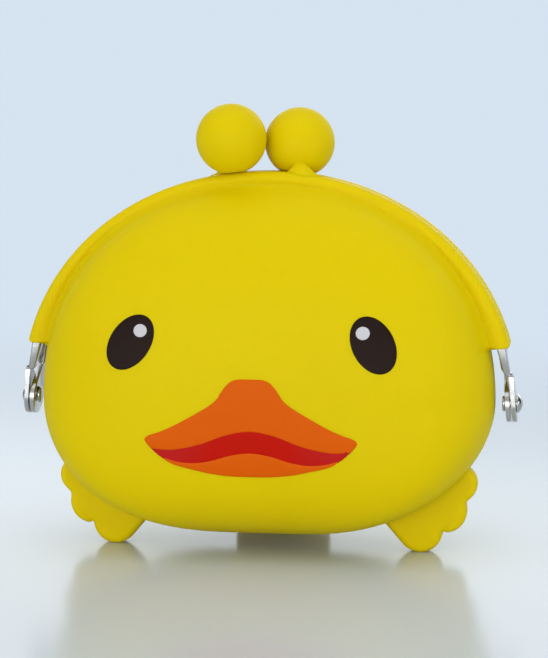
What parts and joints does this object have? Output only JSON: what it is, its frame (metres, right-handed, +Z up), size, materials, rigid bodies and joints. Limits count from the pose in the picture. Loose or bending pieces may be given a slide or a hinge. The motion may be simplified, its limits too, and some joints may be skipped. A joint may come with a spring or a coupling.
{
  "type": "kiss-lock silicone coin purse",
  "caption": "Soft silicone pouch with a duck's face that holds earbuds or coins, opened by a hinged steel frame with crossing clasp balls.",
  "frame": {"origin": "on the surface that the case stands on, under the middle of the hinge line", "axes": "+X to the right as seen from the front, along the hinge; +Y to the back; +Z up"},
  "size_m": [0.112, 0.0474, 0.0985],
  "materials": {
    "silicone": "matt moulded yellow silicone",
    "frame_steel": "nickel-plated pressed steel",
    "core_steel": "plain turned steel",
    "eye_print": "brown-black silicone ink",
    "glint_print": "white silicone ink",
    "bill_print": "orange silicone ink",
    "mouth_print": "red silicone ink"
  },
  "bodies": {
    "pouch": {"pouch_bowl": "silicone", "front_fold_panel": "silicone", "back_fold_panel": "silicone", "left_wing": "silicone", "right_wing": "silicone", "tail": "silicone", "left_eye": "eye_print", "right_eye": "eye_print", "left_eye_glint": "glint_print", "right_eye_glint": "glint_print", "upper_bill": "bill_print", "mouth": "mouth_print", "lower_bill": "bill_print"},
    "front_half": {"front_pouch_half": "silicone", "front_frame": "frame_steel", "front_clasp_ball": "silicone", "front_clasp_core": "core_steel", "front_clasp_stem": "core_steel", "right_rivet": "frame_steel", "left_rivet": "frame_steel"},
    "back_half": {"back_pouch_half": "silicone", "back_frame": "frame_steel", "back_clasp_ball": "silicone", "back_clasp_core": "core_steel", "back_clasp_stem": "core_steel"}
  },
  "joints": [
    {"name": "front_hinge", "type": "hinge", "parent": "pouch", "child": "front_half", "pos_m": [0, 0, 0.0328], "axis": [1, 0, 0], "range_deg": [0, 25], "deforming": ["front_fold_panel", "left_eye", "right_eye", "left_eye_glint", "right_eye_glint", "front_clasp_ball"]},
    {"name": "back_hinge", "type": "hinge", "parent": "pouch", "child": "back_half", "pos_m": [0, 0, 0.0328], "axis": [-1, 0, 0], "range_deg": [0, 25], "deforming": ["back_fold_panel", "back_clasp_ball"]}
  ],
  "couplings": [
    {"joint": "back_hinge", "follows": "front_hinge", "ratio": 1}
  ]
}
